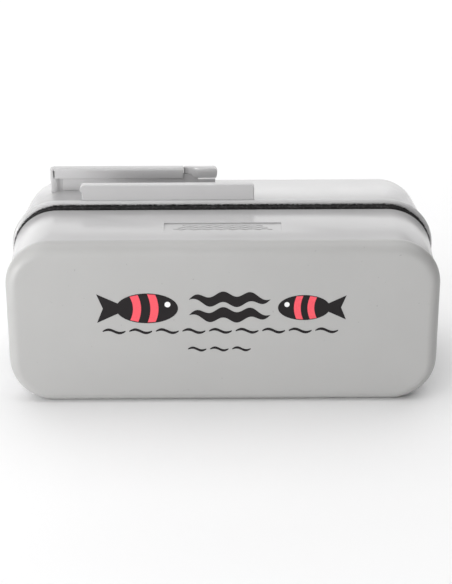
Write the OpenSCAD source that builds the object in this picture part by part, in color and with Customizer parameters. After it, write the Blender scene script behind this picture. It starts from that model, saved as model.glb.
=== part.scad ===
// Magnetic glass cleaner: a dry handle half and a floating wet half, pad to pad.
// X is the long way, Y runs from the handle (front) to the float (back), Z is up.
// The origin is at the bottom centre, on the plane where the two pads meet.

/* [Overall] */
// Width of the front cap
cap_w = 140; // [130:1:150]
// Height of the front cap
cap_h = 55.1; // [52:0.1:60]
// Corner radius of the front cap
corner_r = 14.5; // [12:0.5:17]
// Depth of each half, without its pad
half_d = 33; // [31:0.5:40]

/* [Shells] */
// Thickness of the moulded walls
wall_t = 2.4; // [1.8:0.1:3]
// Rounding of the outer edge of the cap and of the float
edge_r = 3.8; // [2:0.1:5]
// Depth of the front cap
cap_d = 5.6; // [5.2:0.1:8]
// How far the handle shell steps in behind the cap
seam_step = 0.7; // [0.3:0.1:1.2]
// How far each shell widens towards the pads
draft = 1.5; // [0.5:0.1:2]
// Length and wall of the spigots that join the shells
spigot_l = 2.2; // [1.5:0.1:3]

/* [Rim] */
// How far the float's rim stands out from the cap's outline
rim_out = 1.7; // [1.2:0.1:3]
// Thickness of the rim
rim_t = 1.5; // [1.2:0.1:2]

/* [Pads] */
// Thickness of each pad
pad_t = 0.85; // [0.5:0.05:1.5]
// Thickness of the tape behind each pad
tape_t = 0.2; // [0.1:0.05:0.3]

/* [Magnets] */
// Width of one magnet block
magnet_w = 38; // [30:1:39]
// Height of one magnet block
magnet_h = 38; // [30:1:39]
// Thickness of a handle magnet
handle_magnet_t = 12; // [8:0.5:13]
// Thickness of a float magnet
float_magnet_t = 10; // [6:0.5:12]
// Thickness of the steel keeper plates
keeper_t = 1.5; // [1:0.1:2]

/* [Badge] */
// Width of the shallow recess on top of the handle shell
badge_w = 38.4; // [20:0.2:60]
// Length of the recess along Y
badge_l = 6.6; // [4:0.1:12]
// Depth of the recess
badge_t = 0.4; // [0.2:0.1:0.8]

/* [Scraper rail] */
// Width of the front fin
fin_w = 58.9; // [40:0.5:80]
// Height of the front fin's top edge above the floor
fin_top = 63.4; // [61:0.1:66]
// Thickness of the front fin
fin_t = 2.8; // [2:0.1:3.5]
// Length of the rear wall
rail_w = 57.1; // [50:0.1:80]
// Distance from the pad plane to the rear wall's front face
rail_y = 17.7; // [16:0.1:20]
// Thickness of the rear wall
rail_t = 1.6; // [1.2:0.1:2.4]
// Height of the rear wall's top edge above the floor
rail_top = 65; // [64:0.1:68]
// Height of the lip along the wall's top
lip_h = 3.7; // [2:0.1:4]
// How far the lip overhangs the wall
lip_out = 1.2; // [0.6:0.1:1.6]
// Length of the sprung latch tab at the open end
tab_w = 11.8; // [9:0.1:16]

/* [Hidden] */
$fn = 64;

fit = 0.2;                                // clearance of a spigot in its shell
pad_gap = 0.05;                           // each pad stops this short of Y = 0
face_y = pad_gap + pad_t + tape_t;        // the hard face behind each pad
front_y = -face_y - half_d;
seam_y = front_y + cap_d;
back_y = face_y + half_d;

half_w = cap_w / 2;
shell_front = [half_w - seam_step, 0, cap_h - seam_step, corner_r - seam_step];
shell_back = grow(shell_front, draft, 0);
pad_box = [shell_back[0] + 0.3, 0.3, shell_back[2] + 1.1, shell_back[3] + 1.2];
rim_box = [half_w + rim_out, 0, cap_h + rim_out + 1.3, corner_r + rim_out];
float_front = grow(rim_box, -0.8, -0.8);
float_back = grow(float_front, -draft * 0.8, -draft * 0.8);

top_slope = atan(draft / (-face_y - seam_y));
badge_y = -face_y - 11.8 - badge_l;
badge_z = shell_front[2] + (badge_y - seam_y) * tan(top_slope);

spigot_t = 1.4;                           // wall of a spigot
cover_hole = [half_w - wall_t, wall_t, cap_h - wall_t, corner_r - wall_t];
handle_spigot = grow(cover_hole, -fit, -fit);
handle_hole = grow(handle_spigot, -spigot_t, -spigot_t);
float_mouth = grow(float_back, -wall_t, -wall_t);
float_spigot = grow(float_mouth, -fit, -fit);
float_hole = grow(float_mouth, -1, -1);
spigot_end = face_y + rim_t + 3;
seal_t = 1.2;

face_t = 2.2;                             // wall between magnets and handle pad
magnet_z = cap_h / 2 + 1.45;
magnet_pitch = magnet_w + 4;
handle_magnet_y = -face_y - face_t - 0.1;
float_magnet_y = face_y + rim_t + 0.1;
cradle_t = 5;
keeper_w = 2 * magnet_pitch + magnet_w;
cradle_rim = 1.8;                         // frame left round the outer magnets
cradle_box = grow([keeper_w / 2, magnet_z - magnet_h / 2, magnet_z + magnet_h / 2, 2.2],
    cradle_rim, cradle_rim);

rail_foot = 56.2;                         // the rails' feet sink into the float's top
fin_left = -48.1;
rail_left = -59.4;
slit_h = 0.5;                             // gap below the latch tab
flex_gap = 0.1;                           // gap at the tab's flexing root
tab_left = -13.4;
tab_lip_left = tab_left + 5;
end_web = 2.2;

// An outline is [half width, bottom, top, corner radius].
function grow(box, out, down) = [box[0] + out, box[1] - down, box[2] + out, box[3] + out];

// Rounded rectangle in X and Z.
module outline(box) {
    w = box[0];
    r = box[3];
    translate([-w + r, box[1]]) square([2 * (w - r), box[2] - box[1]]);
    translate([-w, box[1] + r]) square([2 * w, box[2] - box[1] - 2 * r]);
    for (x = [-w + r, w - r], z = [box[1] + r, box[2] - r])
        translate([x, z]) circle(r);
}

// Extrudes an X-Z outline from y0 to y1.
module along_y(y0, y1) {
    translate([0, y1, 0]) rotate([90, 0, 0]) linear_extrude(y1 - y0) children();
}

module slab(box, y0, y1) {
    along_y(y0, y1) outline(box);
}

// A slab whose four sides slope from one outline to another.
module drafted_slab(box0, y0, box1, y1) {
    hull($fn = 48) {
        slab(box0, y0, y0 + 0.01);
        slab(box1, y1 - 0.01, y1);
    }
}

// A slab of depth edge_r whose outer edge is rounded, the flat face at y.
module rounded_face(box, y, out) {
    hull($fn = 48)
        for (a = [0:15:90]) {
            inset = edge_r * (1 - cos(a));
            far = y + out * edge_r * sin(a);
            slab(grow(box, -inset, -inset), far - 0.005, far + 0.005);
        }
}

module block(w, h, y0, y1, x = 0) {
    translate([x - w / 2, y0, magnet_z - h / 2]) cube([w, y1 - y0, h]);
}

module cradle(y0, y1) {
    difference() {
        slab(cradle_box, y0, y1);
        for (i = [-1, 0, 1])
            block(magnet_w + 0.4, magnet_h + 0.4, y0 - 1, y1 + 1, i * magnet_pitch);
    }
}

module plastic() {
    color("gainsboro") children();
}

module ferrite() {
    color("dimgray") children();
}

module steel() {
    color("silver") children();
}

module handle_cover() {
    color("darkgray") difference() {
        union() {
            rounded_face([half_w, 0, cap_h, corner_r], front_y + edge_r, -1);
            slab([half_w, 0, cap_h, corner_r], front_y + edge_r, seam_y);
        }
        slab(cover_hole, front_y + wall_t, seam_y + 1);
    }
}

module handle_shell() {
    plastic() difference() {
        union() {
            drafted_slab(shell_front, seam_y, shell_back, -face_y);
            slab(handle_spigot, seam_y - spigot_l, seam_y);
        }
        slab(handle_hole, seam_y - spigot_l - 1, -face_y - face_t);
        translate([0, badge_y, badge_z]) rotate([top_slope, 0, 0])
            translate([-badge_w / 2, 0, -badge_t]) cube([badge_w, badge_l, 4]);
    }
}

module handle_magnet(i) {
    ferrite() block(magnet_w, magnet_h, handle_magnet_y - handle_magnet_t, handle_magnet_y,
        i * magnet_pitch);
}

module handle_magnet_left() { handle_magnet(-1); }
module handle_magnet_centre() { handle_magnet(0); }
module handle_magnet_right() { handle_magnet(1); }

module handle_magnet_cradle() {
    color("whitesmoke") cradle(handle_magnet_y - cradle_t, handle_magnet_y);
}

module handle_keeper_plate() {
    y1 = handle_magnet_y - handle_magnet_t;
    steel() block(keeper_w, magnet_h, y1 - keeper_t, y1);
}

module handle_foam_block() {
    y1 = handle_magnet_y - handle_magnet_t - keeper_t;
    color("slategray") block(keeper_w - 8, magnet_h - 4, front_y + wall_t + 0.1, y1);
}

module handle_pad_tape() {
    color("lightyellow") slab(grow(shell_back, -1, -1), -face_y, -face_y + tape_t);
}

module handle_felt_pad() {
    color("black") slab(pad_box, -pad_gap - pad_t, -pad_gap);
}

module float_face_plate() {
    plastic() union() {
        slab(rim_box, face_y, face_y + rim_t);
        difference() {
            slab(float_spigot, face_y + rim_t, spigot_end);
            slab(grow(float_spigot, -spigot_t, -spigot_t), face_y + rim_t, spigot_end + 1);
        }
    }
}

module float_shell() {
    plastic() difference() {
        union() {
            drafted_slab(float_front, face_y + rim_t, float_back, back_y - edge_r);
            rounded_face(float_back, back_y - edge_r, 1);
        }
        slab(float_mouth, face_y, spigot_end + seal_t);
        slab(float_hole, face_y, back_y - wall_t);
    }
}

module float_seal_ring() {
    color("dimgray") difference() {
        slab(grow(float_mouth, -0.1, -0.1), spigot_end, spigot_end + seal_t);
        slab(grow(float_hole, -0.6, -0.6), spigot_end - 1, spigot_end + seal_t + 1);
    }
}

module float_magnet(i) {
    ferrite() block(magnet_w, magnet_h, float_magnet_y, float_magnet_y + float_magnet_t,
        i * magnet_pitch);
}

module float_magnet_left() { float_magnet(-1); }
module float_magnet_centre() { float_magnet(0); }
module float_magnet_right() { float_magnet(1); }

module float_magnet_cradle() {
    color("whitesmoke") cradle(float_magnet_y, float_magnet_y + cradle_t);
}

module float_keeper_plate() {
    y0 = float_magnet_y + float_magnet_t;
    steel() block(keeper_w, magnet_h, y0, y0 + keeper_t);
}

module float_pad_tape() {
    color("lightyellow") slab(grow(shell_back, -1, -1), face_y - tape_t, face_y);
}

module float_scrub_pad() {
    color("black") slab(pad_box, pad_gap, pad_gap + pad_t);
}

// The fin's left end is undercut a little below its head.
module scraper_rail_fin() {
    fin_r = 1.4;
    head_h = 2.6;
    undercut = 0.6;
    y0 = face_y + rim_t;
    plastic() along_y(y0, y0 + fin_t) {
        translate([fin_left + fin_r, fin_top - head_h]) square([fin_w - 2 * fin_r, head_h]);
        translate([fin_left, fin_top - head_h]) square([fin_w, head_h - fin_r]);
        translate([fin_left + undercut, rail_foot])
            square([fin_w - undercut, fin_top - head_h - rail_foot]);
        for (x = [fin_left + fin_r, fin_left + fin_w - fin_r])
            translate([x, fin_top - fin_r]) circle(fin_r);
    }
}

module scraper_rail_channel() {
    lip_y = rail_y - lip_out;
    wall_top = rail_top - lip_h - slit_h;
    plastic() union() {
        translate([rail_left, rail_y, rail_foot]) cube([rail_w, rail_t, wall_top - rail_foot]);
        translate([rail_left, rail_y, rail_foot])
            cube([tab_left - rail_left, rail_t, rail_top - rail_foot]);
        translate([rail_left, lip_y, rail_top - lip_h])
            cube([tab_left - rail_left, lip_out + rail_t, lip_h]);
        translate([rail_left, lip_y, rail_foot])
            cube([end_web, lip_out + rail_t, rail_top - rail_foot]);
    }
}

// A sprung finger at the rail's open end: a thin neck, a ramp and a short lip.
module scraper_latch_tab() {
    z0 = rail_top - lip_h;
    lip_y = rail_y - lip_out;
    back = rail_y + rail_t;
    root_r = (rail_t - 0.2) / 2;
    x0 = tab_left + flex_gap + root_r;
    x1 = tab_left + tab_w;
    tip_r = 1.6;
    plastic() union() {
        translate([x0, back - root_r, z0]) cylinder(r = root_r, h = lip_h);
        intersection() {
            translate([0, 0, z0]) linear_extrude(lip_h) polygon([
                [x0, back], [x0, back - 2 * root_r], [x0 + 1.6, rail_y + 0.1],
                [tab_lip_left - 0.8, lip_y + 0.4], [tab_lip_left + 0.4, lip_y],
                [x1, lip_y], [x1, back]
            ]);
            along_y(lip_y - 1, back + 1) {
                translate([x0 - 1, z0]) square([x1 - x0 + 1, lip_h - tip_r]);
                translate([x0 - 1, z0]) square([x1 - x0 + 1 - tip_r, lip_h]);
                translate([x1 - tip_r, rail_top - tip_r]) circle(tip_r);
            }
        }
    }
}

handle_cover();
handle_shell();
handle_magnet_left();
handle_magnet_centre();
handle_magnet_right();
handle_magnet_cradle();
handle_keeper_plate();
handle_foam_block();
handle_pad_tape();
handle_felt_pad();
float_face_plate();
float_shell();
float_seal_ring();
float_magnet_left();
float_magnet_centre();
float_magnet_right();
float_magnet_cradle();
float_keeper_plate();
float_pad_tape();
float_scrub_pad();
scraper_rail_fin();
scraper_rail_channel();
scraper_latch_tab();
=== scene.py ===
"""Magnetic glass cleaner: the looks of the two shells, their pads and the scraper rail."""

import math
import random

import bmesh
import bpy
from mathutils import Matrix, Vector


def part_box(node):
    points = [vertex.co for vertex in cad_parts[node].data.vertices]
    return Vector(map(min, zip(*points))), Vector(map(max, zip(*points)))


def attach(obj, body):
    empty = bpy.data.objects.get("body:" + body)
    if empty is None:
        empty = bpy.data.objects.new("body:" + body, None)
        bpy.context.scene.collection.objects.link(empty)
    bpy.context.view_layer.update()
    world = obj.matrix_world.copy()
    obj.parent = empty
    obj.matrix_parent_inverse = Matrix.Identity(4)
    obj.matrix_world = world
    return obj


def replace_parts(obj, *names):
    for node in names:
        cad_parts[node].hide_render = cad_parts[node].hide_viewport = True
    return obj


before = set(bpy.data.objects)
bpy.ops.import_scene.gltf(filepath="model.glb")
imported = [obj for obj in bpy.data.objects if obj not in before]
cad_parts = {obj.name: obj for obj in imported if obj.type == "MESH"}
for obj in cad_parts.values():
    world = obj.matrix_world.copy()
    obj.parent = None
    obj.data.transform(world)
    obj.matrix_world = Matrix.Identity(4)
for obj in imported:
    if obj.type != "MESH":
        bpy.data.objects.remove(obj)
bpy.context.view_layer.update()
random.seed(7)

MM = 0.001


def span(node):
    """A CAD node's lowest and highest corners, in millimetres."""
    lo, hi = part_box(node)
    return Vector(lo) / MM, Vector(hi) / MM


# ---------------------------------------------------------------- sizes, in mm
COVER_LO, COVER_HI = span("handle_cover")
SHELL_LO, SHELL_HI = span("handle_shell")
PAD_LO, PAD_HI = span("handle_felt_pad")
SCRUB_LO, SCRUB_HI = span("float_scrub_pad")
RIM_LO, RIM_HI = span("float_face_plate")
FLOAT_LO, FLOAT_HI = span("float_shell")
FIN_LO, FIN_HI = span("scraper_rail_fin")
RAIL_LO, RAIL_HI = span("scraper_rail_channel")
TAB_LO, TAB_HI = span("scraper_latch_tab")

CORNER = 14.5          # corner radius of the cover
EDGE = 3.8             # rounding of the outer edges
SEAM_STEP = 0.7        # the shell sits this far inside the cover
DRAFT = SHELL_HI.x - (COVER_HI.x - SEAM_STEP)
PRINT_LIFT = 0.02      # thickness of the printed ink
COVER_FACE = COVER_LO.y + 2 * PRINT_LIFT
RIM_T = 1.5            # thickness of the float's rim
LIP_H = 3.7            # height of the rail's lip
LIP_OUT = 1.2          # how far the lip overhangs the rail's wall
BADGE_W, BADGE_L, BADGE_T = 38.4, 6.6, 0.4
BADGE_BACK = 11.8      # from the badge recess to the back of the handle shell
PRINT_Z = 33.6         # height of the print's main row


# ---------------------------------------------------------------- mesh helpers
def make(name, verts, faces, material, body, smooth=30):
    """A mesh object from millimetre points, riding on a body."""
    mesh = bpy.data.meshes.new(name)
    mesh.from_pydata([Vector(v) * MM for v in verts], [], faces)
    mesh.validate()
    mesh.update()
    mesh.polygons.foreach_set("use_smooth", [True] * len(mesh.polygons))
    mesh.set_sharp_from_angle(angle=math.radians(smooth))
    mesh.materials.append(material)
    obj = bpy.data.objects.new(name, mesh)
    bpy.context.scene.collection.objects.link(obj)
    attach(obj, body)
    return obj


def outline(box, steps=14):
    """Points of a rounded rectangle in X and Z: box is (half width, bottom, top, radius)."""
    w, z0, z1, r = box
    corners = [(w - r, z1 - r, 0), (-w + r, z1 - r, 90), (-w + r, z0 + r, 180), (w - r, z0 + r, 270)]
    points = []
    for cx, cz, start in corners:
        for i in range(steps + 1):
            a = math.radians(start + 90 * i / steps)
            points.append((cx + r * math.cos(a), cz + r * math.sin(a)))
    return points


def inset(box, d):
    return (box[0] - d, box[1] + d, box[2] - d, max(box[3] - d, 0.2))


def between(box0, box1, t):
    return tuple(a + (b - a) * t for a, b in zip(box0, box1))


def loft(name, rings, material, body, steps=14):
    """A closed skin through (y, box) rings, flat at both ends."""
    verts = []
    for y, box in rings:
        verts += [(x, y, z) for x, z in outline(box, steps)]
    n = 4 * (steps + 1)
    faces = [tuple(range(n)), tuple(reversed(range(len(verts) - n, len(verts))))]
    for k in range(len(rings) - 1):
        for i in range(n):
            j = (i + 1) % n
            faces.append((k * n + i, (k + 1) * n + i, (k + 1) * n + j, k * n + j))
    return make(name, verts, faces, material, body)


def rounded_end(box, y, r, way, steps=8, support=0.4):
    """Rings of an edge rounded by r that ends flat at y; way is +1 if the end faces +Y."""
    rings = [(y, inset(box, r + support))]
    for i in range(steps + 1):
        a = math.radians(90 * i / steps)
        rings.append((y - way * r * (1 - math.cos(a)), inset(box, r * (1 - math.sin(a)))))
    return rings


def prism(name, points, axis, lo, hi, material, body, bevel, segments=3):
    """A flat outline pushed along an axis, with rounded edges. axis is "x", "y" or "z"."""
    place = {
        "x": lambda p, d: (d, p[0], p[1]),
        "y": lambda p, d: (p[0], d, p[1]),
        "z": lambda p, d: (p[0], p[1], d),
    }[axis]
    n = len(points)
    verts = [place(p, lo) for p in points] + [place(p, hi) for p in points]
    faces = [tuple(range(n)), tuple(reversed(range(n, 2 * n)))]
    faces += [(i, n + i, n + (i + 1) % n, (i + 1) % n) for i in range(n)]
    obj = make(name, verts, faces, material, body)
    fix_normals(obj)
    round_edges(obj, bevel, segments)
    return obj


def fix_normals(obj):
    bm = bmesh.new()
    bm.from_mesh(obj.data)
    bmesh.ops.recalc_face_normals(bm, faces=bm.faces)
    bm.to_mesh(obj.data)
    bm.free()


def round_edges(obj, width, segments):
    bevel = obj.modifiers.new("rounded edges", "BEVEL")
    bevel.width = width * MM
    bevel.segments = segments
    bevel.limit_method = "ANGLE"
    bevel.angle_limit = math.radians(25)
    bevel.harden_normals = True


def apply_modifiers(obj):
    graph = bpy.context.evaluated_depsgraph_get()
    mesh = bpy.data.meshes.new_from_object(obj.evaluated_get(graph))
    obj.modifiers.clear()
    obj.data = mesh


def join(main, *others):
    """Joins solids into one piece."""
    with bpy.context.temp_override(active_object=main, selected_editable_objects=[main, *others]):
        bpy.ops.object.join()
    return main


def arc(cx, cy, r, start, end, steps=6):
    """Points along an arc, in degrees."""
    return [
        (
            cx + r * math.cos(math.radians(start + (end - start) * i / steps)),
            cy + r * math.sin(math.radians(start + (end - start) * i / steps)),
        )
        for i in range(steps + 1)
    ]


def add_tube(verts, faces, points, radius, sides=3):
    """Adds a thin tube along points to the lists of a mesh."""
    first = len(verts)
    for k, p in enumerate(points):
        ahead = points[min(k + 1, len(points) - 1)] - points[max(k - 1, 0)]
        side = ahead.orthogonal().normalized()
        up = ahead.cross(side).normalized()
        for s in range(sides):
            a = 2 * math.pi * s / sides
            verts.append(p + (side * math.cos(a) + up * math.sin(a)) * radius)
    for k in range(len(points) - 1):
        for s in range(sides):
            a = first + k * sides + s
            b = first + k * sides + (s + 1) % sides
            faces.append((a, b, b + sides, a + sides))
    last = first + (len(points) - 1) * sides
    faces.append(tuple(first + s for s in reversed(range(sides))))
    faces.append(tuple(last + s for s in range(sides)))


# ---------------------------------------------------------------- materials
class Nodes:
    """Short names for building a node tree."""

    def __init__(self, name):
        self.material = bpy.data.materials.new(name)
        self.material.use_nodes = True
        self.tree = self.material.node_tree
        self.shader = self.tree.nodes["Principled BSDF"]
        self.place = self.tree.nodes.new("ShaderNodeTexCoord").outputs["Object"]

    def node(self, kind, inputs=(), **settings):
        made = self.tree.nodes.new("ShaderNode" + kind)
        for key, value in settings.items():
            setattr(made, key, value)
        for socket, value in dict(inputs).items():
            if hasattr(value, "links"):
                self.tree.links.new(value, made.inputs[socket])
            else:
                made.inputs[socket].default_value = value
        return made

    def noise(self, scale, detail=4.0, rough=0.5):
        """Noise with features 1/scale apart, in 1/mm."""
        inputs = {"Vector": self.place, "Scale": scale / MM, "Detail": detail, "Roughness": rough}
        return self.node("TexNoise", inputs).outputs["Fac"]

    def ramp(self, value, lo, hi, to_lo, to_hi):
        inputs = {"Value": value, "From Min": lo, "From Max": hi, "To Min": to_lo, "To Max": to_hi}
        return self.node("MapRange", inputs).outputs["Result"]

    def mix(self, factor, a, b):
        made = self.node("Mix", data_type="RGBA")
        factor_in, color_a, color_b = made.inputs[0], made.inputs[6], made.inputs[7]
        self.tree.links.new(factor, factor_in)
        for socket, value in ((color_a, a), (color_b, b)):
            if hasattr(value, "links"):
                self.tree.links.new(value, socket)
            else:
                socket.default_value = value
        return made.outputs[2]

    def bump(self, height, strength, distance, normal=None):
        inputs = {"Height": height, "Strength": strength, "Distance": distance * MM}
        if normal:
            inputs["Normal"] = normal
        return self.node("Bump", inputs).outputs["Normal"]

    def link(self, **sockets):
        for name, output in sockets.items():
            self.tree.links.new(output, self.shader.inputs[name.replace("_", " ")])


def shade(color, factor):
    return (*(c * factor for c in color), 1.0)


def moulded_plastic(name, color, rough, grain, cloud):
    """Injection-moulded plastic: faint flow clouding, fine grain, rubbed patches and specks."""
    m = Nodes(name)
    m.shader.inputs["IOR"].default_value = 1.5
    clouding = m.ramp(m.noise(0.035, 2), 0.35, 0.65, 0.0, 1.0)
    base = m.mix(clouding, shade(color, 1 - cloud), shade(color, 1 + cloud))
    specks = m.ramp(m.noise(0.9, 1), 0.785, 0.80, 0.0, 0.6)
    m.link(Base_Color=m.mix(specks, base, shade(color, 0.72)))
    rubbed = m.noise(0.09, 6, 0.65)
    m.link(Roughness=m.ramp(rubbed, 0.3, 0.7, rough - 0.04, rough + 0.06))
    fine = m.bump(m.noise(2.6, 2), grain, 0.02)
    m.link(Normal=m.bump(m.noise(0.06, 1), 0.05, 0.15, fine))
    return m.material


def black_fibre(name, sheen):
    """Black synthetic fibre with greyer, worn strands."""
    m = Nodes(name)
    m.shader.inputs["Roughness"].default_value = 0.85
    m.shader.inputs["Sheen Weight"].default_value = sheen
    m.shader.inputs["Sheen Roughness"].default_value = 0.5
    strands = m.ramp(m.noise(1.6, 4, 0.7), 0.5, 0.72, 0.0, 1.0)
    m.link(Base_Color=m.mix(strands, (0.005, 0.0045, 0.005, 1), (0.075, 0.07, 0.075, 1)))
    m.link(Normal=m.bump(m.noise(3.0, 4, 0.7), 0.9, 0.25))
    return m.material


def printed_ink(name, color):
    """Pad-printed ink with slightly uneven cover."""
    m = Nodes(name)
    m.shader.inputs["Roughness"].default_value = 0.5
    m.shader.inputs["Specular IOR Level"].default_value = 0.2
    uneven = m.noise(1.2, 5, 0.6)
    m.link(Base_Color=m.mix(uneven, shade(color, 0.85), shade(color, 1.15)))
    m.link(Normal=m.bump(m.noise(4.0, 2), 0.1, 0.02))
    return m.material


def plain_matter(name, color, rough, grain, metal=0.0):
    """Hidden inner pieces: metal, ferrite, foam, tape and seal."""
    m = Nodes(name)
    m.shader.inputs["Metallic"].default_value = metal
    mottled = m.noise(0.8, 6, 0.6)
    m.link(Base_Color=m.mix(mottled, shade(color, 0.8), shade(color, 1.2)))
    m.link(Roughness=m.ramp(mottled, 0.3, 0.7, rough - 0.1, rough + 0.1))
    m.link(Normal=m.bump(m.noise(2.0, 5, 0.6), grain, 0.1))
    return m.material


COVER = moulded_plastic("cover_plastic", (0.39, 0.388, 0.383), 0.36, 0.10, 0.012)
SHELL = moulded_plastic("shell_plastic", (0.50, 0.496, 0.50), 0.20, 0.04, 0.012)
FELT = black_fibre("felt_fibre", 0.05)
HOOKS = black_fibre("hook_fibre", 0.0)
INK_DARK = printed_ink("charcoal_ink", (0.010, 0.008, 0.009))
INK_CORAL = printed_ink("coral_ink", (0.80, 0.095, 0.125))
INK_WHITE = printed_ink("white_ink", (0.80, 0.80, 0.80))
INNER = {
    "magnet_left": plain_matter("ferrite", (0.03, 0.03, 0.033), 0.6, 0.5),
    "keeper_plate": plain_matter("steel", (0.5, 0.5, 0.52), 0.35, 0.1, 1.0),
    "magnet_cradle": plain_matter("cradle_plastic", (0.55, 0.55, 0.55), 0.5, 0.1),
    "foam_block": plain_matter("foam", (0.10, 0.11, 0.13), 0.9, 1.0),
    "pad_tape": plain_matter("tape", (0.60, 0.55, 0.38), 0.6, 0.2),
    "seal_ring": plain_matter("seal_rubber", (0.02, 0.02, 0.02), 0.7, 0.2),
}
INNER["magnet_centre"] = INNER["magnet_left"]
INNER["magnet_right"] = INNER["magnet_left"]


def dress_inner_nodes():
    """Each hidden CAD node keeps its shape and gets its material."""
    for name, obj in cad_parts.items():
        kind = name.split("_", 1)[1]
        if kind in INNER:
            obj.data.materials.clear()
            obj.data.materials.append(INNER[kind])


# ---------------------------------------------------------------- outer half
COVER_BOX = (COVER_HI.x, COVER_LO.z, COVER_HI.z, CORNER)
SHELL_FRONT = (COVER_HI.x - SEAM_STEP, SHELL_LO.z, COVER_HI.z - SEAM_STEP, CORNER - SEAM_STEP)
SHELL_BACK = (SHELL_HI.x, SHELL_LO.z, SHELL_HI.z, CORNER - SEAM_STEP + DRAFT)
SEAM_Y = COVER_HI.y


def cover():
    rings = rounded_end(COVER_BOX, COVER_FACE, EDGE, -1, 12)
    rings += [
        (SEAM_Y - 0.85, COVER_BOX),
        (SEAM_Y - 0.5, inset(COVER_BOX, 0.08)),
        (SEAM_Y - 0.22, inset(COVER_BOX, 0.25)),
        (SEAM_Y - 0.05, inset(COVER_BOX, 0.5)),
        (SEAM_Y - 0.05, inset(COVER_BOX, 2.4)),
    ]
    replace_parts(loft("cover_skin", rings, COVER, "handle", 20), "handle_cover")


def shell_box(y):
    """The handle shell's outline at y."""
    return between(SHELL_FRONT, SHELL_BACK, (y - SEAM_Y) / (SHELL_HI.y - SEAM_Y))


def handle_shell():
    rings = [
        (SHELL_LO.y + 0.3, inset(SHELL_FRONT, 2.0)),
        (SEAM_Y, inset(SHELL_FRONT, 2.0)),
        (SEAM_Y, inset(SHELL_FRONT, 0.5)),
        (SEAM_Y + 0.25, inset(shell_box(SEAM_Y + 0.25), 0.3)),
        (SEAM_Y + 0.4, inset(shell_box(SEAM_Y + 0.4), 0.06)),
        (SEAM_Y + 0.6, shell_box(SEAM_Y + 0.6)),
        (SHELL_HI.y - 0.5, shell_box(SHELL_HI.y - 0.5)),
        (SHELL_HI.y - 0.15, inset(SHELL_BACK, 0.15)),
        (SHELL_HI.y, inset(SHELL_BACK, 0.5)),
    ]
    skin = loft("handle_shell_skin", rings, SHELL, "handle", 20)
    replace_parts(skin, "handle_shell")
    cut_badge(skin)


BADGE_Y = SHELL_HI.y - BADGE_BACK - BADGE_L


def on_top(x, y, up=0.0):
    """A point on the handle shell's sloping top, or above it."""
    return (x, y, shell_box(y)[2] + up)


def cut_badge(skin):
    """Sinks the shallow panel into the shell's top."""
    y0, y1 = BADGE_Y, BADGE_Y + BADGE_L
    corners = [(x, y) for x, y in ((-1, y0), (1, y0), (1, y1), (-1, y1))]
    verts = [on_top(x * BADGE_W / 2, y, up) for up in (-BADGE_T, 2.0) for x, y in corners]
    faces = [(3, 2, 1, 0), (4, 5, 6, 7), (0, 1, 5, 4), (1, 2, 6, 5), (2, 3, 7, 6), (3, 0, 4, 7)]
    cutter = make("badge_cutter", verts, faces, SHELL, "handle")
    cut = skin.modifiers.new("badge", "BOOLEAN")
    cut.object = cutter
    cut.operation = "DIFFERENCE"
    cut.solver = "EXACT"
    apply_modifiers(skin)
    bpy.data.objects.remove(cutter)
    skin.data.set_sharp_from_angle(angle=math.radians(30))


def badge_waves():
    """Raised wave strokes in the sunken panel, in place of lettering."""
    verts, faces = [], []
    for row in range(3):
        y = BADGE_Y + BADGE_L * (0.28 + 0.22 * row)
        reach = BADGE_W / 2 - 3.0 - 1.5 * row
        steps = 60
        points = []
        for i in range(steps + 1):
            x = -reach + 2 * reach * i / steps
            points.append(Vector(on_top(x, y + 0.35 * math.sin(x * 1.5 + row), -BADGE_T + 0.02)))
        add_tube(verts, faces, points, 0.16, 6)
    make("badge_relief", verts, faces, SHELL, "handle", 60)


def flat_mark(name, outlines, material, layer=0):
    """Thin printed shapes on the cover's face. Each outline is a ring of (x, z) points."""
    verts, faces = [], []
    back = COVER_FACE + 0.01
    front = COVER_FACE - PRINT_LIFT * (1 + layer * 0.4)
    for ring in outlines:
        first, n = len(verts), len(ring)
        verts += [(x, front, z) for x, z in ring]
        verts += [(x, back, z) for x, z in ring]
        faces.append(tuple(first + i for i in range(n)))
        faces.append(tuple(first + n + i for i in reversed(range(n))))
        for i in range(n):
            j = (i + 1) % n
            faces.append((first + i, first + n + i, first + n + j, first + j))
    obj = make(name, verts, faces, material, "handle")
    fix_normals(obj)
    return obj


def ribbon(x0, x1, z, height, wave, length, taper=1.0, steps=48):
    """A wavy stroke that thins towards its ends."""
    top, bottom = [], []
    for i in range(steps + 1):
        t = i / steps
        x = x0 + (x1 - x0) * t
        mid = z + wave * math.sin(2 * math.pi * (x - x0) / length)
        half = height / 2 * (1 - taper * abs(2 * t - 1) ** 3)
        top.append((x, mid + half + 0.03))
        bottom.append((x, mid - half - 0.03))
    return bottom + top[::-1]


def disc(x, z, r, steps=28):
    return arc(x, z, r, 0, 360 - 360 / steps, steps - 1)


def fish(x, z, size, face):
    """A plain fish outline: an oval body and a forked tail. face is 1 if it looks towards +X."""
    body = []
    for i in range(40):
        a = math.radians(-160 + 320 * i / 39)
        body.append((x + face * size * math.cos(a), z + 0.52 * size * math.sin(a)))
    tail_x = x - face * size
    tail = [(tail_x - face * 0.62 * size, z + 0.5 * size)]
    tail += [(tail_x - face * 0.42 * size, z), (tail_x - face * 0.62 * size, z - 0.5 * size)]
    return body + tail


def fish_stripe(x, z, size, face, at, width):
    """A curved band across the fish."""
    left, right = [], []
    for i in range(13):
        s = -1 + 2 * i / 12
        for side, edge in ((left, at - width / 2), (right, at + width / 2)):
            reach = 0.94 * 0.52 * size * math.sqrt(max(0.0, 1 - edge**2))
            side.append((x + face * size * (edge + 0.10 * (1 - s * s)), z + s * reach))
    return left + right[::-1]


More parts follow.
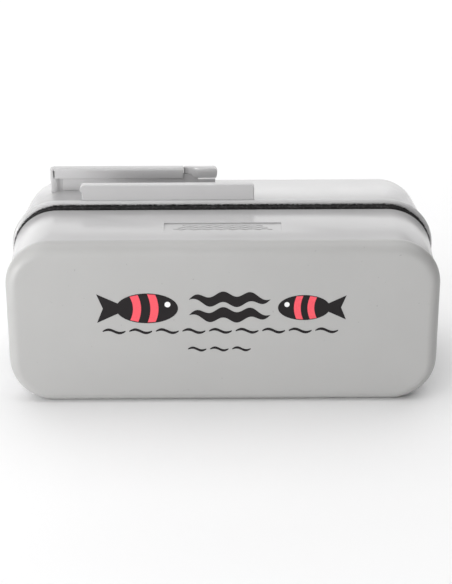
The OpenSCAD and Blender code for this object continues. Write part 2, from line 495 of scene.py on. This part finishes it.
def cover_print():
    """A wordless aquarium motif where the cover carries its print."""
    mid = PRINT_Z
    shapes = [
        fish(-24.5, mid, 10.0, 1),
        fish(26.0, mid, 8.4, -1),
        ribbon(-11.0, 15.2, mid + 3.0, 3.6, 0.9, 8.8),
        ribbon(-11.0, 15.2, mid - 2.4, 3.6, 0.9, 8.8),
    ]
    flat_mark("print_dark", shapes, INK_DARK)
    stripes = [fish_stripe(-24.5, mid, 10.0, 1, at, 0.26) for at in (-0.42, 0.14)]
    stripes += [fish_stripe(26.0, mid, 8.4, -1, at, 0.26) for at in (-0.36, 0.16)]
    flat_mark("print_coral", stripes, INK_CORAL, 1)
    eyes = [disc(-17.9, mid + 1.3, 0.95), disc(20.5, mid + 1.1, 0.85)]
    flat_mark("print_white", eyes, INK_WHITE, 1)
    fine = [ribbon(-39 + 8.6 * i, -31.6 + 8.6 * i, 25.6, 0.9, 0.6, 7.4, 0.6, 24) for i in range(9)]
    fine += [ribbon(-11.5 + 7.2 * i, -5.5 + 7.2 * i, 19.2, 0.8, 0.5, 6.0, 0.6, 20) for i in range(3)]
    flat_mark("print_fine_waves", fine, INK_DARK)


# ---------------------------------------------------------------- pads
EDGE_FIBRES = 1700     # loops of fibre round each pad's edge
FACE_FIBRES = 2600     # fibres lying on the felt's face
FIBRE_REACH = 0.5      # how far the longest loop stands out
SOFT_EDGE = 0.25       # the pad body stays this far inside the CAD pad
HOOK_CORNER = 15       # the hooks' corners are cut round at about this radius
HOOK_MID_Z = 28.4      # middle of the hooked area
HOOK_STRAIGHT = 13.5   # half the straight part of its short sides


def pad_outline_point(box, s):
    """Point and outward direction at distance fraction s round a rounded rectangle."""
    points = outline(box, 10)
    lengths = [math.dist(points[i], points[(i + 1) % len(points)]) for i in range(len(points))]
    left = s * sum(lengths)
    for i, length in enumerate(lengths):
        if left <= length:
            break
        left -= length
    a, b = Vector(points[i]), Vector(points[(i + 1) % len(points)])
    along = (b - a).normalized()
    return a + along * left, Vector((along.y, -along.x))


def fuzzy_edge(verts, faces, box, y0, y1, count, reach, radius):
    """Short loops of fibre standing out all round a pad's edge."""
    for _ in range(count):
        p, out = pad_outline_point(box, random.random())
        along = Vector((-out.y, out.x))
        y = random.uniform(y0, y1)
        width = random.uniform(0.12, 0.38)
        height = reach * random.uniform(0.35, 1.0)
        lean = random.uniform(-0.15, 0.15)
        loop = []
        for i in range(5):
            a = math.pi * i / 4
            q = p + along * (width * math.cos(a) + lean) + out * (height * math.sin(a) - 0.12)
            dy = min(max(y + lean * math.sin(a), y0), y1)
            loop.append(Vector((q.x, dy, max(q.y, 0.05))))
        add_tube(verts, faces, loop, radius)


def pad_body(name, lo, hi, y0, y1, material, bulge):
    """The pad itself: a soft-edged slab."""
    box = (hi.x - bulge, lo.z + bulge, hi.z - bulge, SHELL_BACK[3] + 1.0)
    edge = 0.22
    rings = [
        (y0, inset(box, edge + 0.6)),
        (y0 + 0.03, inset(box, edge)),
        (y0 + edge, box),
        (y1 - edge, box),
        (y1 - 0.03, inset(box, edge)),
        (y1, inset(box, edge + 0.6)),
    ]
    pad = loft(name, rings, material, "handle" if y1 < 0 else "float", 20)
    return pad, box


def felt_pad():
    y0, y1 = PAD_LO.y, PAD_HI.y - 0.02
    pad, box = pad_body("felt_pad", PAD_LO, PAD_HI, y0, y1 - 0.02, FELT, SOFT_EDGE)
    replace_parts(pad, "handle_felt_pad")
    verts, faces = [], []
    fuzzy_edge(verts, faces, box, y0 + 0.1, y1 - 0.1, EDGE_FIBRES, FIBRE_REACH, 0.07)
    for _ in range(FACE_FIBRES):
        x = random.uniform(-box[0] + 4, box[0] - 4)
        z = random.uniform(box[1] + 4, box[2] - 4)
        turn = random.uniform(0, 2 * math.pi)
        length = random.uniform(0.8, 2.2)
        bend = random.uniform(-0.5, 0.5)
        points = []
        for i in range(4):
            t = i / 3 - 0.5
            a = turn + bend * t
            along = length * t
            points.append(Vector((x + along * math.cos(a), y1 - 0.03, z + along * math.sin(a))))
        add_tube(verts, faces, points, 0.025)
    make("felt_fibres", verts, faces, FELT, "handle", 80)


def scrub_pad():
    """Woven base with rows of stiff hooks that lean alternately."""
    y0, y1 = SCRUB_LO.y, SCRUB_HI.y
    pile = 0.42
    pad, box = pad_body("scrub_pad", SCRUB_LO, SCRUB_HI, y0 + pile, y1, HOOKS, SOFT_EDGE)
    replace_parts(pad, "float_scrub_pad")
    verts, faces = [], []
    fuzzy_edge(verts, faces, box, y0 + 0.1, y1 - 0.1, EDGE_FIBRES, FIBRE_REACH, 0.08)
    pitch = 1.5
    columns = int((2 * box[0] - 5) / pitch)
    rows = int((box[2] - box[1] - 5) / pitch)
    for c in range(columns + 1):
        for r in range(rows + 1):
            x = (c - columns / 2) * pitch
            z = (box[1] + box[2]) / 2 + (r - rows / 2) * pitch
            past_x = max(abs(x) - box[0] + HOOK_CORNER, 0)
            past_z = max(abs(z - HOOK_MID_Z) - HOOK_STRAIGHT, 0)
            if Vector((past_x, past_z)).length > HOOK_CORNER - 1:
                continue
            lean = 0.34 if (c + r) % 2 else -0.34
            hook = []
            for i in range(5):
                a = math.radians(45 * i)
                out = lean * (1 - math.cos(a))
                hook.append(Vector((x + out, y0 + pile * (1 - math.sin(a * 0.75)), z)))
            add_tube(verts, faces, hook, 0.08)
    make("scrub_hooks", verts, faces, HOOKS, "float", 80)


# ---------------------------------------------------------------- floating half
RIM_BOX = (RIM_HI.x, RIM_LO.z, RIM_HI.z, CORNER + 1.7)
FLOAT_FRONT = (FLOAT_HI.x, FLOAT_LO.z, FLOAT_HI.z, CORNER + 0.9)
FLOAT_BACK = inset(FLOAT_FRONT, 1.2)


def rim():
    y0, y1 = RIM_LO.y, RIM_LO.y + RIM_T
    rings = rounded_end(RIM_BOX, y0, 1.15, -1, 8)
    rings += list(reversed(rounded_end(RIM_BOX, y1, 0.3, 1, 4)))
    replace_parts(loft("rim_skin", rings, SHELL, "float", 20), "float_face_plate")


def float_shell():
    y0, y1 = RIM_LO.y + RIM_T, FLOAT_HI.y
    rings = [
        (y0, inset(FLOAT_FRONT, -0.35)),
        (y0 + 0.12, inset(FLOAT_FRONT, -0.12)),
        (y0 + 0.45, FLOAT_FRONT),
        (y1 - EDGE, FLOAT_BACK),
    ]
    rings += list(reversed(rounded_end(FLOAT_BACK, y1, EDGE, 1, 12)))[1:]
    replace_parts(loft("float_shell_skin", rings, SHELL, "float", 20), "float_shell")


# ---------------------------------------------------------------- scraper rail
def rail_fin():
    """Upright plate with rounded top corners and an undercut left end."""
    r, head, under = 1.4, 2.6, 0.6
    x0, x1, z1 = FIN_LO.x, FIN_HI.x, FIN_HI.z
    points = [(x0 + under, FIN_LO.z), (x0 + under, z1 - head - 0.2), (x0, z1 - head + 0.2)]
    points += arc(x0 + r, z1 - r, r, 180, 90) + arc(x1 - r, z1 - r, r, 90, 0)
    points += [(x1, FIN_LO.z)]
    fin = prism("rail_fin", points, "y", FIN_LO.y, FIN_HI.y, SHELL, "float", 0.4)
    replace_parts(fin, "scraper_rail_fin")


def neck_line(x0, z1, z0):
    """The lower edge of the latch tab: a short neck that curves down into the lip."""
    points = [(x0 - 0.2, z1 - 2.5), (x0 + 1.6, z1 - 2.5)]
    for i in range(1, 7):
        t = i / 6
        points.append((x0 + 1.6 + 3.2 * t, z1 - 2.5 + (z0 - z1 + 2.5) * t**1.6))
    return points


def rail_channel():
    """Rear wall with an overhanging lip, closed by a web at its left end."""
    y_wall, y_back, z1, foot = RAIL_LO.y + LIP_OUT, RAIL_HI.y, RAIL_HI.z, RAIL_LO.z
    z_lip = z1 - LIP_H
    x_end = TAB_LO.x - 0.1
    profile = [(y_back, foot), (y_wall, foot), (y_wall, z_lip - 0.6)]
    profile += arc(y_wall - 0.4, z_lip - 0.4, 0.4, 0, 90, 3)
    profile += [(RAIL_LO.y, z_lip)] + arc(RAIL_LO.y + 0.8, z1 - 0.8, 0.8, 180, 90) + [(y_back, z1)]
    web_x = RAIL_LO.x
    main = prism("rail_channel", profile, "x", web_x + 1.0, x_end, SHELL, "float", 0.3)
    web_back = y_back - 0.04
    web = [(web_x, web_back), (web_x, RAIL_LO.y), (web_x + 1.5, RAIL_LO.y)]
    web += [(web_x + 2.4, RAIL_LO.y + 0.35), (web_x + 3.2, y_wall - 0.25), (web_x + 4.4, y_wall)]
    web += [(web_x + 4.4, web_back)]
    end_web = prism("rail_end_web", web, "z", foot, z1 - 0.04, SHELL, "float", 0.5)
    low = [(x_end - 0.3, foot), (x_end - 0.3, z1 - 2.6)]
    low += [(x, z - 0.12) for x, z in neck_line(TAB_LO.x, z1, TAB_LO.z)]
    low += [(low[-1][0] + 0.2, z_lip - 0.9), (RAIL_HI.x, z_lip - 0.9), (RAIL_HI.x, foot)]
    low_wall = prism("rail_low_wall", low, "y", y_wall + 0.03, y_back - 0.03, SHELL, "float", 0.12)
    for part in (main, end_web, low_wall):
        apply_modifiers(part)
    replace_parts(join(main, end_web, low_wall), "scraper_rail_channel")


def latch_tab():
    """Sprung finger: a neck, a ramp and a short lip with a rounded tip."""
    y0, y1, z0, z1 = TAB_LO.y, TAB_HI.y, TAB_LO.z, TAB_HI.z
    x0, x1 = TAB_LO.x, TAB_HI.x
    plan = arc(x0 + 0.7, y1 - 0.7, 0.7, 90, 270, 8)
    plan += [(x0 + 1.6, y0 + 1.35), (x0 + 2.9, y0 + 0.95), (x0 + 4.0, y0 + 0.35), (x0 + 4.9, y0)]
    plan += [(x1, y0), (x1, y1)]
    tab = prism("latch_tab", plan, "z", z0, z1, SHELL, "latch", 0.25)
    apply_modifiers(tab)
    keep = neck_line(x0 - 0.5, z1, z0 - 0.01)[::-1] + [(x0 - 1, z1 - 2.5), (x0 - 1, z1 + 1)]
    keep += [(x1 - 1.6, z1 + 1)] + arc(x1 - 1.6, z1 - 1.6, 1.6, 90, -12, 8) + [(x1 - 0.35, z0 - 0.01)]
    cutter = prism("tip_cutter", keep, "y", y0 - 1, y1 + 1, SHELL, "latch", 0.01, 1)
    cutter.modifiers.clear()
    cut = tab.modifiers.new("tip", "BOOLEAN")
    cut.object = cutter
    cut.operation = "INTERSECT"
    apply_modifiers(tab)
    bpy.data.objects.remove(cutter)
    tab.data.set_sharp_from_angle(angle=math.radians(30))
    round_edges(tab, 0.2, 2)
    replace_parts(tab, "scraper_latch_tab")


# ---------------------------------------------------------------- studio
CAMERA_AT = (0.0012, -0.4693, 0.215)
CAMERA_TILT = 68.0     # degrees up from straight down
CAMERA_TURN = -0.5     # degrees about the upright axis
CAMERA_ROLL = -0.1     # degrees about the line of sight
GLOW_LEFT, GLOW_RIGHT = 0.42, 0.10  # the room's brightness on either side


def studio_floor():
    m = Nodes("studio_floor")
    m.shader.inputs["Roughness"].default_value = 0.75
    m.link(Base_Color=m.mix(m.noise(0.01, 2), (0.88, 0.88, 0.885, 1), (0.90, 0.90, 0.90, 1)))
    mesh = bpy.data.meshes.new("floor")
    reach = 6.0
    mesh.from_pydata([(-reach, -reach, 0), (reach, -reach, 0), (reach, reach, 0), (-reach, reach, 0)],
                     [], [(0, 1, 2, 3)])
    mesh.materials.append(m.material)
    floor = bpy.data.objects.new("floor", mesh)
    bpy.context.scene.collection.objects.link(floor)


def panel(name, at, aim, width, height, glow):
    """A soft panel light of even brightness glow, in front of which white paper reads glow."""
    light = bpy.data.lights.new(name, "AREA")
    light.shape = "RECTANGLE"
    light.size, light.size_y = width, height
    light.energy = glow * width * height * math.pi
    obj = bpy.data.objects.new(name, light)
    obj.location = at
    obj.rotation_euler = (Vector(aim) - Vector(at)).to_track_quat("-Z", "Y").to_euler()
    obj.visible_camera = False
    bpy.context.scene.collection.objects.link(obj)


def studio():
    studio_floor()
    world = bpy.data.worlds.new("studio")
    world.use_nodes = True
    tree = world.node_tree
    background = tree.nodes["Background"]
    background.inputs["Color"].default_value = (1.0, 0.995, 0.99, 1)
    direction = tree.nodes.new("ShaderNodeTexCoord")
    split = tree.nodes.new("ShaderNodeSeparateXYZ")
    fade = tree.nodes.new("ShaderNodeMapRange")
    fade.inputs["From Min"].default_value = -0.6
    fade.inputs["From Max"].default_value = 0.6
    fade.inputs["To Min"].default_value = GLOW_LEFT
    fade.inputs["To Max"].default_value = GLOW_RIGHT
    tree.links.new(direction.outputs["Generated"], split.inputs["Vector"])
    tree.links.new(split.outputs["X"], fade.inputs["Value"])
    tree.links.new(fade.outputs["Result"], background.inputs["Strength"])
    bpy.context.scene.world = world
    middle = (0, 0, 0.03)
    panel("back_panel", (-0.4, 1.5, 0.5), middle, 4.0, 1.0, 1.1)
    panel("top_panel", (0.15, 0.5, 1.3), (0.15, 0.5, 0), 2.6, 2.0, 1.42)
    panel("front_top_panel", (-0.5, -0.85, 0.7), middle, 1.2, 0.5, 1.9)
    panel("key_panel", (-0.55, -0.42, 0.06), middle, 0.4, 0.12, 12.0)
    panel("front_fill", (-0.3, -0.6, 0.03), middle, 0.9, 0.05, 9.0)


def camera():
    data = bpy.data.cameras.new("camera")
    data.sensor_width = 36
    data.lens = 90.4
    data.clip_end = 20
    obj = bpy.data.objects.new("camera", data)
    turn = Matrix.Rotation(math.radians(CAMERA_TURN), 4, "Z")
    level = Matrix.Rotation(math.radians(CAMERA_ROLL), 4, "Z")
    place = turn @ Matrix.Translation(CAMERA_AT)
    obj.matrix_world = place @ Matrix.Rotation(math.radians(CAMERA_TILT), 4, "X") @ level
    bpy.context.scene.collection.objects.link(obj)
    bpy.context.scene.camera = obj


camera()
studio()
dress_inner_nodes()
cover()
handle_shell()
badge_waves()
cover_print()
felt_pad()
scrub_pad()
rim()
float_shell()
rail_fin()
rail_channel()
latch_tab()
bpy.context.scene.view_settings.view_transform = "Standard"
